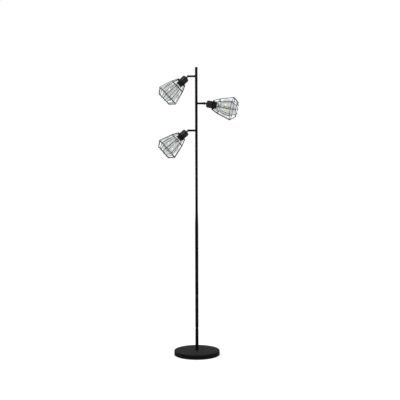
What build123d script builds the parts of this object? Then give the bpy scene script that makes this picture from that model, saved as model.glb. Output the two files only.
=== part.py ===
from build123d import *
import os
from collections import namedtuple
from math import acos, asin, atan2, cos, hypot, pi, radians, sin

# Floor lamp with three swivelling spot heads, each a bulb inside a ten-sided wire cage.
# Millimetres and degrees. +X to the right and -Y to the front, +Z up,
# origin on the floor under the middle of the pole.
# Small turned pieces have flat facets, so that the three heads stay light to compute.

# ---- facets of turned pieces, and gaps between pieces that seat
turned_sides = 16
seat_gap = 0.3
thread_gap = 0.1
running_gap = 0.05

# ---- base: a pressed cover over a cast weight, on a soft pad
base_d = 254.0
base_h = 25.0
cover_wall = 1.5
cover_edge = 1.8
cover_lift = 0.8
pad_t = 2.0
pad_inset = 0.4
nut_clearance = 1.0
weight_sides = 60
cable_channel = 9.0

# ---- bushing for the supply cable, low in the back of the cover
bushing_z = 11.0
bushing_hole = 9.0
bushing_bore = 6.4
bushing_flange = 13.0
bushing_flange_t = 2.0

# ---- pole: three tubes, the middle one drawn down to the diameter of the top one
pole_h = 1600.0
lower_d = 18.0
upper_d = 14.4
tube_wall = 1.2
tube_fit = 0.05
foot_tube_h = 118.0
neck_gap = 10.0
coupling_grip = 22.0
taper_z = 718.0
taper_h = 82.0
taper_land = 15.0
joiner_grip = 25.0
cable_way = 8.0
plug_t = 8.0

# ---- threaded stud that clamps the pole to the base
stud_d = 9.8
stud_bore = 6.5
stud_grip = 20.0
foot_plug_h = 24.0
nut_across_flats = 17.0
nut_t = 8.0
nut_pocket_d = 24.0

# ---- arms: short stubs welded to the top tube, placed down from the pole's top
upper_arm_drop = 50.0
arm_spacing = 150.0
arm_d = 11.0
arm_reach = 27.0

# ---- swivel and tilt knuckle
pin_reach = 46.0
spigot_d = 7.0
spigot_len = 17.0
stop_screw_d = 3.0
stop_screw_at = 17.0
groove_d = 5.0
side_gap = 0.25
ear_flat = 9.2
tongue_t = 4.0
tongue_gap = 0.15
eye_gap = 0.08
tongue_neck = 7.0
slot_gap = 0.7
screw_d = 4.0
screw_head_d = 7.2
screw_head_t = 2.0
screw_nut_af = 7.0
screw_nut_t = 3.0
shoulder_d = 15.0
shoulder_t = 2.0
tongue_stub_d = 9.8
tongue_stub_len = 8.0
tongue_nut_af = 17.0
tongue_nut_t = 4.0

# ---- lampholder, sizes along the head measured from the tilt pin
cap_back = 11.0
cap_d = 41.0
cap_len = 34.0
cap_wall = 1.2
cap_crown = 7.0
cap_crown_len = 4.5
holder_flange_d = 45.0
holder_flange_t = 1.5
holder_skirt_d = 37.0
holder_skirt_len = 24.5
holder_bore_d = 27.4
shade_ring_d = 47.0
shade_ring_t = 8.0
contact_w = 8.0
contact_l = 18.0
contact_t = 0.6

# ---- wire cage
cage_sides = 10
wire_d = 3.2
wire_faces = 6
weld_gap = 0.05
collar_d = 59.0
collar_t = 1.6
collar_foot_d = 54.0
mid_d = 85.2
mid_at = 80.5
wide_d = 131.0
wide_at = 155.5
mouth_d = 78.4
mouth_at = 185.3

# ---- bulb
bulb_d = 95.0
bulb_tip = 177.5
bulb_len = 128.0
glass_t = 0.9
bulb_neck_d = 26.0
bulb_neck_len = 3.0
screw_cap_d = 26.4
screw_cap_len = 26.5
screw_cap_cone = 3.5
button_d = 9.0
button_h = 2.5
stem_foot_d = 16.0
stem_top_d = 5.0
stem_len = 31.0
filament_d = 1.8
filament_len = 32.0
filament_count = 6
filament_sides = 6
ball_bands = 6
filament_ring_d = 15.0
filament_plate_t = 0.8

# ---- how each head is left standing: tilt down from the arm, swivel of the knuckle
# towards the front, and the turn of the cage about its own axis
upper_tilt = 43.5
upper_swivel = -0.5
upper_cage_turn = 22.0
middle_tilt = 15.0
middle_swivel = 37.0
middle_cage_turn = 28.0
lower_tilt = 41.5
lower_swivel = 5.0
lower_cage_turn = 17.5

LEFT, RIGHT = -1, 1

# ---- places that follow from the sizes above
base_r = base_d / 2
cover_inner_r = base_r - cover_wall
weight_top = base_h - cover_wall
nut_pocket_top = pad_t + nut_clearance + nut_t
lower_bore_r = lower_d / 2 - tube_wall
upper_bore_r = upper_d / 2 - tube_wall
foot_tube_top = base_h + foot_tube_h
middle_tube_z = foot_tube_top + neck_gap
taper_top = taper_z + taper_h
upper_tube_z = taper_top + taper_land
upper_arm_z = pole_h - upper_arm_drop
middle_arm_z = upper_arm_z - arm_spacing
lower_arm_z = middle_arm_z - arm_spacing
arm_r = arm_d / 2
wire_r = wire_d / 2
cap_front = cap_back + cap_len
collar_at = cap_front + holder_flange_t
ring_at = collar_at + collar_t
holder_front = collar_at + holder_skirt_len
bulb_foot = bulb_tip - bulb_len
glass_at = bulb_foot + screw_cap_len
holder_bore_at = bulb_foot - seat_gap - contact_t
filament_at = glass_at + stem_len + filament_plate_t

Head = namedtuple("Head", "name side arm_z tilt swivel cage_turn")
heads = [
    Head("upper", LEFT, upper_arm_z, upper_tilt, upper_swivel, upper_cage_turn),
    Head("middle", RIGHT, middle_arm_z, middle_tilt, middle_swivel, middle_cage_turn),
    Head("lower", LEFT, lower_arm_z, lower_tilt, lower_swivel, lower_cage_turn),
]

os.makedirs("parts", exist_ok=True)


def save(part, name):
    """Labels a finished piece and writes it under its name."""
    part.label = name
    export_step(part, f"parts/{name}.step")


# ---- directions and planes of one head


def outward(head):
    """Along the arm, away from the pole."""
    return Vector(head.side, 0, 0)


def hanging(head):
    """Square to the arm, the way the head hangs at its swivel."""
    turn = radians(head.swivel)
    return Vector(0, -sin(turn), -cos(turn))


def along(head):
    """Along the head, from the tilt pin to the mouth of the cage."""
    return outward(head) * cos(radians(head.tilt)) + hanging(head) * sin(radians(head.tilt))


def lift(head):
    """Square to the head, in the plane that it tilts in."""
    return outward(head) * sin(radians(head.tilt)) - hanging(head) * cos(radians(head.tilt))


def pin_at(head):
    return Vector(head.side * pin_reach, 0, head.arm_z)


def pin_axis(head):
    return along(head).cross(lift(head))


def across_arm(head, reach):
    """Plane square to the arm, this far from the pole's axis."""
    return Plane(Vector(head.side * reach, 0, head.arm_z), x_dir=hanging(head), z_dir=outward(head))


def across_head(head, at):
    """Plane square to the head, this far from the tilt pin."""
    return Plane(pin_at(head) + along(head) * at, x_dir=lift(head), z_dir=along(head))


def beside_arm(head):
    """Plane of the tilt, x along the arm."""
    return Plane(pin_at(head), x_dir=outward(head), z_dir=pin_axis(head))


def beside_head(head):
    """Plane of the tilt, x along the head."""
    return Plane(pin_at(head), x_dir=along(head), z_dir=pin_axis(head))


# ---- base


with BuildPart() as base_cover:
    with BuildSketch(Plane.XZ):
        with BuildLine():
            Polyline(
                (0, weight_top),
                (cover_inner_r, weight_top),
                (cover_inner_r, cover_lift),
                (base_r, cover_lift),
                (base_r, base_h - cover_edge),
                (base_r - cover_edge, base_h),
                (0, base_h),
                close=True,
            )
        make_face()
    revolve(axis=Axis.Z)
    with BuildSketch(Plane.XY.offset(weight_top)):
        Circle(stud_d / 2 + seat_gap)
    extrude(amount=cover_wall, mode=Mode.SUBTRACT)
    with BuildSketch(Plane((0, base_r - 2 * cover_wall, bushing_z), z_dir=(0, 1, 0))):
        Circle(bushing_hole / 2)
    extrude(amount=3 * cover_wall, mode=Mode.SUBTRACT)
save(base_cover.part, "base_cover")

with BuildPart() as base_weight:
    with BuildSketch(Plane.XY.offset(pad_t)):
        RegularPolygon(radius=cover_inner_r - seat_gap, side_count=weight_sides)
    extrude(amount=weight_top - pad_t)
    with BuildSketch(Plane.XY.offset(pad_t)):
        Circle(stud_d / 2 + seat_gap)
    extrude(amount=weight_top - pad_t, mode=Mode.SUBTRACT)
    with BuildSketch(Plane.XY.offset(pad_t)):
        RegularPolygon(radius=nut_pocket_d / 2, side_count=6, major_radius=False)
    extrude(amount=nut_pocket_top - pad_t, mode=Mode.SUBTRACT)
    with BuildSketch(Plane.XY.offset(pad_t)):
        with Locations((0, base_r / 2)):
            Rectangle(cable_channel + 2, base_r)
    extrude(amount=bushing_z + cable_channel / 2 - pad_t, mode=Mode.SUBTRACT)
save(base_weight.part, "base_weight")

with BuildPart() as base_pad:
    with BuildSketch():
        RegularPolygon(radius=cover_inner_r - pad_inset, side_count=weight_sides)
    extrude(amount=pad_t)
save(base_pad.part, "base_pad")

with BuildPart() as cable_bushing:
    with BuildSketch(Plane((0, cover_inner_r, bushing_z), z_dir=(0, 1, 0))):
        RegularPolygon(radius=bushing_hole / 2 - running_gap, side_count=turned_sides)
    extrude(amount=cover_wall + seat_gap)
    with BuildSketch(Plane((0, base_r + seat_gap, bushing_z), z_dir=(0, 1, 0))):
        RegularPolygon(radius=bushing_flange / 2, side_count=turned_sides)
    extrude(amount=bushing_flange_t)
    with BuildSketch(Plane((0, cover_inner_r, bushing_z), z_dir=(0, 1, 0))):
        RegularPolygon(radius=bushing_bore / 2, side_count=turned_sides)
    extrude(amount=cover_wall + seat_gap + bushing_flange_t, mode=Mode.SUBTRACT)
save(cable_bushing.part, "cable_bushing")

# ---- pole


def sleeve(z, height, outer_d, bore_d):
    """An upright faceted sleeve on the pole's axis."""
    with BuildPart() as made:
        with BuildSketch(Plane.XY.offset(z)):
            RegularPolygon(radius=outer_d / 2, side_count=turned_sides)
            RegularPolygon(radius=bore_d / 2, side_count=turned_sides, mode=Mode.SUBTRACT)
        extrude(amount=height)
    return made.part


stud_z = pad_t + 2.0
save(sleeve(stud_z, base_h + stud_grip - stud_z, stud_d, stud_bore), "foot_stud")

with BuildPart() as foot_nut:
    with BuildSketch(Plane.XY.offset(nut_pocket_top - nut_t)):
        RegularPolygon(radius=nut_across_flats / 2, side_count=6, major_radius=False)
        RegularPolygon(stud_d / 2 + thread_gap, side_count=turned_sides, mode=Mode.SUBTRACT)
    extrude(amount=nut_t)
save(foot_nut.part, "foot_nut")

with BuildPart() as foot_tube:
    with BuildSketch(Plane.XY.offset(base_h)):
        Circle(lower_d / 2)
        RegularPolygon(stud_d / 2 + thread_gap, side_count=turned_sides, mode=Mode.SUBTRACT)
    extrude(amount=foot_tube_h)
    with BuildSketch(Plane.XY.offset(base_h + foot_plug_h)):
        Circle(lower_bore_r)
    extrude(amount=foot_tube_h - foot_plug_h, mode=Mode.SUBTRACT)
save(foot_tube.part, "foot_tube")

coupling_len = neck_gap + 2 * coupling_grip
coupling_d = 2 * (lower_bore_r - tube_fit)
save(sleeve(foot_tube_top - coupling_grip, coupling_len, coupling_d, cable_way), "pole_coupling")

with BuildPart() as middle_tube:
    with BuildSketch(Plane.XZ):
        with BuildLine():
            Polyline(
                (lower_bore_r, middle_tube_z),
                (lower_d / 2, middle_tube_z),
                (lower_d / 2, taper_z),
                (upper_d / 2, taper_top),
                (upper_d / 2, upper_tube_z),
                (upper_bore_r, upper_tube_z),
                (upper_bore_r, taper_z),
                (lower_bore_r, taper_z),
                close=True,
            )
        make_face()
    revolve(axis=Axis.Z)
save(middle_tube.part, "middle_tube")

joiner_d = 2 * (upper_bore_r - tube_fit)
save(sleeve(upper_tube_z - joiner_grip, 2 * joiner_grip, joiner_d, cable_way), "tube_joiner")

with BuildPart() as upper_tube:
    with BuildSketch(Plane.XY.offset(upper_tube_z)):
        Circle(upper_d / 2)
    extrude(amount=pole_h - upper_tube_z)
    for head in heads:
        with BuildSketch(across_arm(head, 0)):
            Circle(arm_r)
        extrude(amount=arm_reach)
    with BuildSketch(Plane.XY.offset(upper_tube_z)):
        Circle(upper_bore_r)
    extrude(amount=pole_h - upper_tube_z, mode=Mode.SUBTRACT)
    for head in heads:
        with BuildSketch(across_arm(head, 0)):
            Circle(spigot_d / 2 + running_gap)
        extrude(amount=arm_reach, mode=Mode.SUBTRACT)
        with BuildSketch(Plane((head.side * stop_screw_at, 0, head.arm_z), z_dir=(0, 0, -1))):
            RegularPolygon(radius=stop_screw_d / 2 + thread_gap, side_count=8)
        extrude(amount=arm_d, mode=Mode.SUBTRACT)
save(upper_tube.part, "upper_tube")

with BuildPart() as pole_plug:
    with BuildSketch(Plane.XY.offset(pole_h - plug_t)):
        RegularPolygon(radius=upper_bore_r - tube_fit, side_count=turned_sides)
    extrude(amount=plug_t)
save(pole_plug.part, "pole_plug")

with BuildPart() as stop_screws:
    for head in heads:
        tip = groove_d / 2 + side_gap
        with BuildSketch(Plane((head.side * stop_screw_at, 0, head.arm_z - tip), z_dir=(0, 0, -1))):
            RegularPolygon(radius=stop_screw_d / 2, side_count=8)
        extrude(amount=arm_r - seat_gap - tip)
save(stop_screws.part, "stop_screws")


# ---- knuckle


def fork(head):
    """Slotted end of the arm. Its spigot turns in the arm, held by the stop screw's groove."""
    slot_len = 2 * arm_r + slot_gap
    slot_middle = arm_r - slot_len / 2
    barrel_at = arm_reach + seat_gap
    groove_w = stop_screw_d + 2 * side_gap
    with BuildPart() as made:
        with BuildSketch(across_arm(head, barrel_at)):
            RegularPolygon(radius=arm_r, side_count=turned_sides)
        extrude(amount=pin_reach - barrel_at + arm_r)
        with BuildSketch(beside_arm(head)):
            RegularPolygon(radius=arm_r, side_count=turned_sides)
            with Locations((-pin_reach / 2, 0)):
                Rectangle(pin_reach, arm_d)
        extrude(amount=arm_r, both=True, mode=Mode.INTERSECT)
        for side in (LEFT, RIGHT):
            with BuildSketch(beside_arm(head).offset(side * ear_flat / 2)):
                with Locations((slot_middle, 0)):
                    Rectangle(slot_len, arm_d)
            extrude(amount=side * arm_r, mode=Mode.SUBTRACT)
        with BuildSketch(beside_arm(head)):
            with Locations((slot_middle, 0)):
                Rectangle(slot_len, arm_d)
        extrude(amount=tongue_t / 2 + tongue_gap, both=True, mode=Mode.SUBTRACT)
        with BuildSketch(beside_arm(head)):
            RegularPolygon(radius=screw_d / 2 + eye_gap, side_count=turned_sides)
        extrude(amount=arm_d, both=True, mode=Mode.SUBTRACT)
        with BuildSketch(across_arm(head, barrel_at - spigot_len)):
            RegularPolygon(radius=spigot_d / 2, side_count=turned_sides)
        extrude(amount=spigot_len)
        with BuildSketch(across_arm(head, stop_screw_at - groove_w / 2)):
            RegularPolygon(radius=arm_r, side_count=turned_sides)
            RegularPolygon(radius=groove_d / 2, side_count=turned_sides, mode=Mode.SUBTRACT)
        extrude(amount=groove_w, mode=Mode.SUBTRACT)
    return made.part


def hinge_screw(head):
    """Screw through both ears and the tongue, head on one side and nut on the other."""
    face = ear_flat / 2 + running_gap
    first = beside_arm(head).offset(-face)
    with BuildPart() as made:
        with BuildSketch(first):
            RegularPolygon(radius=screw_d / 2, side_count=turned_sides)
        extrude(amount=2 * face + screw_nut_t)
        with BuildSketch(first):
            RegularPolygon(radius=screw_head_d / 2, side_count=turned_sides)
        extrude(amount=-screw_head_t)
        with BuildSketch(first.offset(2 * face)):
            RegularPolygon(radius=screw_nut_af / 2, side_count=6, major_radius=False)
        extrude(amount=screw_nut_t)
    return made.part


def tongue(head):
    """Flat tongue that tilts on the screw. Its threaded stub holds the cap of the lampholder."""
    with BuildPart() as made:
        with BuildSketch(beside_head(head)):
            RegularPolygon(radius=arm_r, side_count=turned_sides)
            with Locations(((cap_back - shoulder_t) / 2, 0)):
                Rectangle(cap_back - shoulder_t, tongue_neck)
            RegularPolygon(screw_d / 2 + eye_gap, side_count=turned_sides, mode=Mode.SUBTRACT)
        extrude(amount=tongue_t / 2, both=True)
        with BuildSketch(across_head(head, cap_back - shoulder_t)):
            RegularPolygon(radius=shoulder_d / 2, side_count=turned_sides)
        extrude(amount=shoulder_t)
        with BuildSketch(across_head(head, cap_back)):
            RegularPolygon(radius=tongue_stub_d / 2, side_count=turned_sides)
        extrude(amount=tongue_stub_len)
    return made.part


# ---- lampholder


def turned(head, rings, sides):
    """Turned form in flat facets, through rings of (radius, distance from the tilt pin)."""
    corners = []
    for radius, at in rings:
        plane = across_head(head, at)
        angles = [2 * pi * step / sides for step in range(sides)]
        corners.append([plane.from_local_coords((radius * cos(a), radius * sin(a))) for a in angles])
    faces = [Face(Wire.make_polygon(corners[0])), Face(Wire.make_polygon(corners[-1]))]
    for near, far in zip(corners, corners[1:]):
        for step in range(sides):
            facet = (near[step - 1], near[step], far[step], far[step - 1])
            faces.append(Face(Wire.make_polygon(facet)))
    return Solid(Shell(faces))


def tongue_nut(head):
    """Nut inside the cap, on the tongue's stub."""
    with BuildPart() as made:
        with BuildSketch(across_head(head, cap_back + cap_wall)):
            RegularPolygon(radius=tongue_nut_af / 2, side_count=6, major_radius=False)
            stub_r = tongue_stub_d / 2 + thread_gap
            RegularPolygon(radius=stub_r, side_count=turned_sides, mode=Mode.SUBTRACT)
        extrude(amount=tongue_nut_t)
    return made.part


def cap_outline(inset):
    """Rings of the crowned cap, drawn in by the wall."""
    crown_r = cap_d / 2 - inset
    back = cap_back + inset
    return (
        (crown_r - cap_crown, back),
        (crown_r - cap_crown / 4, back + cap_crown_len * 0.6),
        (crown_r, back + cap_crown_len * 2),
        (crown_r, cap_front),
    )


def socket_cap(head):
    """Crowned cup over the wiring, held by the tongue's stub and nut."""
    with BuildPart() as made:
        add(turned(head, cap_outline(0), turned_sides))
        add(turned(head, cap_outline(cap_wall), turned_sides), mode=Mode.SUBTRACT)
        with BuildSketch(across_head(head, cap_back)):
            RegularPolygon(radius=tongue_stub_d / 2 + thread_gap, side_count=turned_sides)
        extrude(amount=cap_wall, mode=Mode.SUBTRACT)
    return made.part


def lamp_holder(head):
    """Flanged skirt of the lampholder, open at the front for the bulb's screw cap."""
    with BuildPart() as made:
        with BuildSketch(across_head(head, cap_front)):
            RegularPolygon(radius=holder_flange_d / 2, side_count=turned_sides)
        extrude(amount=holder_flange_t)
        with BuildSketch(across_head(head, collar_at)):
            RegularPolygon(radius=holder_skirt_d / 2, side_count=turned_sides)
        extrude(amount=holder_skirt_len)
        with BuildSketch(across_head(head, holder_bore_at)):
            RegularPolygon(radius=holder_bore_d / 2, side_count=turned_sides)
        extrude(amount=holder_front - holder_bore_at, mode=Mode.SUBTRACT)
    return made.part


def centre_contact(head):
    """Spring strip on the floor of the lampholder, under the bulb's button."""
    with BuildPart() as made:
        with BuildSketch(across_head(head, holder_bore_at)):
            Rectangle(contact_l, contact_w)
        extrude(amount=contact_t)
    return made.part


def holder_bore():
    """Hole in a piece that slips over the holder's skirt."""
    return RegularPolygon(
        radius=holder_skirt_d / 2 + thread_gap, side_count=turned_sides, mode=Mode.PRIVATE
    )


def shade_ring(head):
    """Ring nut that clamps the cage's collar to the holder's flange."""
    with BuildPart() as made:
        with BuildSketch(across_head(head, ring_at)):
            RegularPolygon(radius=shade_ring_d / 2, side_count=turned_sides)
            add(holder_bore(), mode=Mode.SUBTRACT)
        extrude(amount=shade_ring_t)
    return made.part


# ---- wire cage, drawn as points (radius, distance from the tilt pin)


def cage_collar(head):
    """Ten-sided plate with a corner under each bar."""
    with BuildPart() as made:
        with BuildSketch(across_head(head, collar_at)):
            RegularPolygon(radius=collar_d / 2, side_count=cage_sides, rotation=head.cage_turn)
            add(holder_bore(), mode=Mode.SUBTRACT)
        extrude(amount=collar_t)
    return made.part


def bar_line():
    """Middle line of a bar: collar, shoulder, widest place and mouth."""
    slope = Vector(mid_d / 2 - collar_foot_d / 2, mid_at - ring_at).normalized()
    foot = Vector(collar_foot_d / 2, ring_at + weld_gap + wire_r * slope.X)
    return [
        foot,
        Vector(mid_d / 2, mid_at),
        Vector(wide_d / 2, wide_at),
        Vector(mouth_d / 2, mouth_at),
    ]


def nested(before, corner, after):
    """Middle of a wire that lies inside a bend of the bar, just clear of it."""
    back = (before - corner).normalized()
    on = (after - corner).normalized()
    inward = (back + on).normalized()
    half_angle = acos(back.dot(on)) / 2
    return corner + inward * ((wire_d + weld_gap) / sin(half_angle))


def ring_places():
    """Middle of the three cross rings, inside the bars."""
    foot, mid, wide, mouth = bar_line()
    run = (mouth - wide).normalized()
    end = mouth + Vector(-run.Y, run.X) * (wire_d + weld_gap) - run * wire_r
    return [nested(foot, mid, wide), nested(mid, wide, mouth), end]


def on_cage(head, point, corner):
    """The place of a cage point at one of the cage's corners."""
    turn = radians(head.cage_turn) + corner * 2 * pi / cage_sides
    plane = across_head(head, point.Y)
    return plane.from_local_coords((point.X * cos(turn), point.X * sin(turn), 0))


def cage_bars(head):
    """Ten bent bars, each one wire from the collar to the mouth."""
    with BuildPart() as made:
        for corner in range(cage_sides):
            points = [on_cage(head, point, corner) for point in bar_line()]
            with BuildLine() as run:
                Polyline(*points)
            with BuildSketch(Plane(points[0], z_dir=points[1] - points[0])):
                RegularPolygon(radius=wire_r, side_count=wire_faces)
            sweep(path=run.line, transition=Transition.RIGHT, clean=False)
    return made.part


def cage_rings(head):
    """Three ten-sided rings welded inside the bars."""
    with BuildPart() as made:
        for place in ring_places():
            points = [on_cage(head, place, corner) for corner in range(cage_sides)]
            start = (points[0] + points[-1]) / 2
            with BuildLine() as run:
                Polyline(start, *points, start)
            with BuildSketch(Plane(start, z_dir=points[0] - start)):
                RegularPolygon(radius=wire_r, side_count=wire_faces)
            sweep(path=run.line, transition=Transition.RIGHT, clean=False)
    return made.part


# ---- bulb


def bulb_cap(head):
    """Metal screw cap of the bulb with its button contact."""
    button_top = bulb_foot + button_h
    rings = (
        (button_d / 2, bulb_foot),
        (button_d / 2, button_top),
        (screw_cap_d / 2, button_top + screw_cap_cone),
        (screw_cap_d / 2, glass_at),
    )
    with BuildPart() as made:
        add(turned(head, rings, turned_sides))
    return made.part


def bulb_outline(inset):
    """Rings of the bulb, drawn in by the wall: straight neck, cone and ball."""
    ball = bulb_d / 2 - inset
    neck = bulb_neck_d / 2 - inset
    centre = bulb_tip - bulb_d / 2
    shoulder = glass_at + bulb_neck_len
    lean = asin(ball / hypot(neck, centre - shoulder))
    start = pi / 2 + atan2(neck, centre - shoulder) - lean
    rings = [(neck, glass_at), (neck, shoulder)]
    for band in range(ball_bands + 1):
        turn = start + (pi - start) * band / (ball_bands + 0.4)
        rings.append((ball * sin(turn), centre - ball * cos(turn)))
    return rings


def bulb_glass(head):
    """Clear envelope, open at the neck where the screw cap closes it."""
    with BuildPart() as made:
        add(turned(head, bulb_outline(0), turned_sides))
        add(turned(head, bulb_outline(glass_t), turned_sides), mode=Mode.SUBTRACT)
    return made.part


def bulb_stem(head):
    """Glass stem that carries the filaments."""
    rings = ((stem_foot_d / 2, glass_at), (stem_top_d / 2, glass_at + stem_len))
    with BuildPart() as made:
        add(turned(head, rings, turned_sides))
    return made.part


def filaments(head):
    """Upright filaments between two small plates."""
    plate_r = (filament_ring_d + filament_d) / 2 + 0.4
    with BuildPart() as made:
        for at in (filament_at - filament_plate_t, filament_at + filament_len):
            with BuildSketch(across_head(head, at)):
                RegularPolygon(radius=plate_r, side_count=filament_sides)
            extrude(amount=filament_plate_t)
        with BuildSketch(across_head(head, filament_at)):
            with PolarLocations(filament_ring_d / 2, filament_count):
                RegularPolygon(radius=filament_d / 2, side_count=filament_sides)
        extrude(amount=filament_len)
    return made.part


for head in heads:
    save(fork(head), f"{head.name}_fork")
    save(hinge_screw(head), f"{head.name}_hinge_screw")
    save(tongue(head), f"{head.name}_tongue")
    save(tongue_nut(head), f"{head.name}_tongue_nut")
    save(socket_cap(head), f"{head.name}_socket_cap")
    save(lamp_holder(head), f"{head.name}_lamp_holder")
    save(centre_contact(head), f"{head.name}_centre_contact")
    save(shade_ring(head), f"{head.name}_shade_ring")
    save(cage_collar(head), f"{head.name}_cage_collar")
    save(cage_bars(head), f"{head.name}_cage_bars")
    save(cage_rings(head), f"{head.name}_cage_rings")
    save(bulb_cap(head), f"{head.name}_bulb_cap")
    save(bulb_glass(head), f"{head.name}_bulb_glass")
    save(bulb_stem(head), f"{head.name}_bulb_stem")
    save(filaments(head), f"{head.name}_filaments")
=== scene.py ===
import logging
from dataclasses import dataclass, field
from enum import Enum
from math import acos, asin, atan2, cos, degrees, hypot, pi, radians, sin, tan
from typing import Sequence

import bmesh
import bpy
from mathutils import Matrix, Vector


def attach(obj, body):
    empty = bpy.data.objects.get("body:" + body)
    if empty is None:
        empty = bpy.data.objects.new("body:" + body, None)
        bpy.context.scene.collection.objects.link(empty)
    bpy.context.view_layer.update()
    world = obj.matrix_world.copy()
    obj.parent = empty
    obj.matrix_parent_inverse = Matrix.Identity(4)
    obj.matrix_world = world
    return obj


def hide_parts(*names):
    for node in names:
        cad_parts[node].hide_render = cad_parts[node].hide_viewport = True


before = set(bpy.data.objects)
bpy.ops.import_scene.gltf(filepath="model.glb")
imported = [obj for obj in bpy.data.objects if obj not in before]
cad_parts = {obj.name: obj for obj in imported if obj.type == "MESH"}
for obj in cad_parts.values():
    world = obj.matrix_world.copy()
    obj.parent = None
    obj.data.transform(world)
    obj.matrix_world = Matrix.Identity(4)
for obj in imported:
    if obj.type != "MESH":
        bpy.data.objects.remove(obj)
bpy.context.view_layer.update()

log = logging.getLogger("lamp")

MM = 0.001
TURN = 2.0 * pi
SHADE_ANGLE = 32.0
STAND = "stand"

Pair = tuple[float, float]
Triple = tuple[float, float, float]
Outline = Sequence[Pair]
Points = list[Pair]
Socket = bpy.types.NodeSocket
Tree = bpy.types.NodeTree


class Side(Enum):
    """The side of the pole that an arm stands on, as the sign of X."""

    LEFT = -1
    RIGHT = 1


class Detail(Enum):
    """How many steps a full turn is cut into."""

    FINE = 96
    ROUND = 64
    SMALL = 32
    WIRE = 16


@dataclass(frozen=True)
class Mount:
    """Where a head stands, how it is turned, and how its cage is. Millimetres, degrees."""

    name: str
    side: Side
    arm_z: float
    tilt: float
    swivel: float
    cage_turn: float


MOUNTS = (
    Mount("upper", Side.LEFT, 1550.0, tilt=43.5, swivel=-0.5, cage_turn=22.0),
    Mount("middle", Side.RIGHT, 1400.0, tilt=15.0, swivel=37.0, cage_turn=28.0),
    Mount("lower", Side.LEFT, 1250.0, tilt=41.5, swivel=5.0, cage_turn=17.5),
)


# ---- shapes


def put(name: str, data: bpy.types.ID) -> bpy.types.Object:
    """Links a new object to the scene.

    Args:
        name: Name of the object.
        data: Its mesh, lamp or camera.

    Returns:
        The object.
    """
    made = bpy.data.objects.new(name, data)
    bpy.context.scene.collection.objects.link(made)
    return made


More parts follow.
